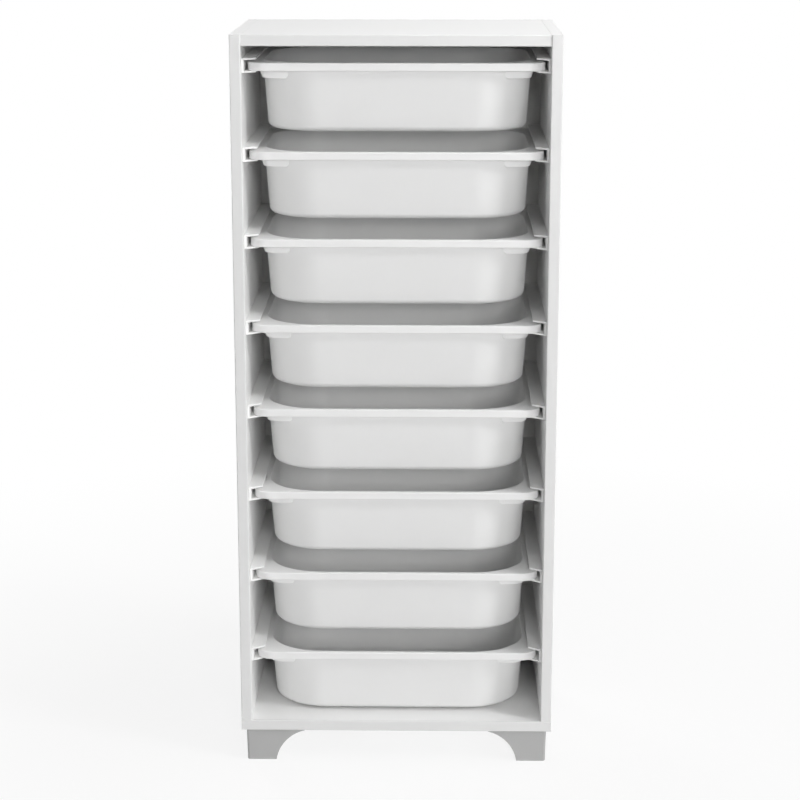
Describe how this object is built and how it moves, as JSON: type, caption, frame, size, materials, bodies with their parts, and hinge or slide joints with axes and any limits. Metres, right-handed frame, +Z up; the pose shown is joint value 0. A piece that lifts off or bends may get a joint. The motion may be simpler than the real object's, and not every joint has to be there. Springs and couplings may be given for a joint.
{
  "type": "tray storage unit",
  "caption": "Tall open-fronted white board cabinet on grey moulded corner feet, with shallow plastic trays that slide out on channel runners.",
  "frame": {"origin": "on the floor, under the middle of the cabinet", "axes": "+Z up, front towards -Y, +X to the right seen from the front"},
  "size_m": [0.47, 0.33, 1.095],
  "materials": {
    "white_board": "white laminate, satin",
    "tray_plastic": "moulded polypropylene, satin",
    "runner_plastic": "extruded plastic, satin",
    "foot_plastic": "moulded plastic, fine matte grain",
    "zinc_steel": "zinc plated",
    "dowel_wood": "plain beech"
  },
  "bodies": {
    "cabinet": {"left_side_panel": "white_board", "right_side_panel": "white_board", "top_panel": "white_board", "bottom_panel": "white_board", "back_panel": "white_board", "foot_front_left": "foot_plastic", "foot_front_right": "foot_plastic", "foot_rear_left": "foot_plastic", "foot_rear_right": "foot_plastic", "runner_left_1": "runner_plastic", "runner_right_1": "runner_plastic", "runner_left_2": "runner_plastic", "runner_right_2": "runner_plastic", "runner_left_3": "runner_plastic", "runner_right_3": "runner_plastic", "runner_left_4": "runner_plastic", "runner_right_4": "runner_plastic", "runner_left_5": "runner_plastic", "runner_right_5": "runner_plastic", "runner_left_6": "runner_plastic", "runner_right_6": "runner_plastic", "runner_left_7": "runner_plastic", "runner_right_7": "runner_plastic", "runner_left_8": "runner_plastic", "runner_right_8": "runner_plastic", "cam_lock_front_left": "zinc_steel", "cam_lock_front_right": "zinc_steel", "cam_lock_rear_left": "zinc_steel", "cam_lock_rear_right": "zinc_steel", "cam_bolt_front_left": "zinc_steel", "cam_bolt_front_right": "zinc_steel", "cam_bolt_rear_left": "zinc_steel", "cam_bolt_rear_right": "zinc_steel", "panel_screw_front_left": "zinc_steel", "panel_screw_front_right": "zinc_steel", "panel_screw_rear_left": "zinc_steel", "panel_screw_rear_right": "zinc_steel", "foot_screw_front_left_a": "zinc_steel", "foot_screw_front_left_b": "zinc_steel", "foot_screw_front_right_a": "zinc_steel", "foot_screw_front_right_b": "zinc_steel", "foot_screw_rear_left_a": "zinc_steel", "foot_screw_rear_left_b": "zinc_steel", "foot_screw_rear_right_a": "zinc_steel", "foot_screw_rear_right_b": "zinc_steel", "dowel_front_left": "dowel_wood", "dowel_front_right": "dowel_wood", "dowel_rear_left": "dowel_wood", "dowel_rear_right": "dowel_wood"},
    "tray_1": {"tray_1": "tray_plastic"},
    "tray_2": {"tray_2": "tray_plastic"},
    "tray_3": {"tray_3": "tray_plastic"},
    "tray_4": {"tray_4": "tray_plastic"},
    "tray_5": {"tray_5": "tray_plastic"},
    "tray_6": {"tray_6": "tray_plastic"},
    "tray_7": {"tray_7": "tray_plastic"},
    "tray_8": {"tray_8": "tray_plastic"}
  },
  "joints": [
    {"name": "tray_1_slide", "type": "slide", "parent": "cabinet", "child": "tray_1", "axis": [0, -1, 0], "range_m": [0, 0.29]},
    {"name": "tray_2_slide", "type": "slide", "parent": "cabinet", "child": "tray_2", "axis": [0, -1, 0], "range_m": [0, 0.29]},
    {"name": "tray_3_slide", "type": "slide", "parent": "cabinet", "child": "tray_3", "axis": [0, -1, 0], "range_m": [0, 0.29]},
    {"name": "tray_4_slide", "type": "slide", "parent": "cabinet", "child": "tray_4", "axis": [0, -1, 0], "range_m": [0, 0.29]},
    {"name": "tray_5_slide", "type": "slide", "parent": "cabinet", "child": "tray_5", "axis": [0, -1, 0], "range_m": [0, 0.29]},
    {"name": "tray_6_slide", "type": "slide", "parent": "cabinet", "child": "tray_6", "axis": [0, -1, 0], "range_m": [0, 0.29]},
    {"name": "tray_7_slide", "type": "slide", "parent": "cabinet", "child": "tray_7", "axis": [0, -1, 0], "range_m": [0, 0.29]},
    {"name": "tray_8_slide", "type": "slide", "parent": "cabinet", "child": "tray_8", "axis": [0, -1, 0], "range_m": [0, 0.29]}
  ]
}
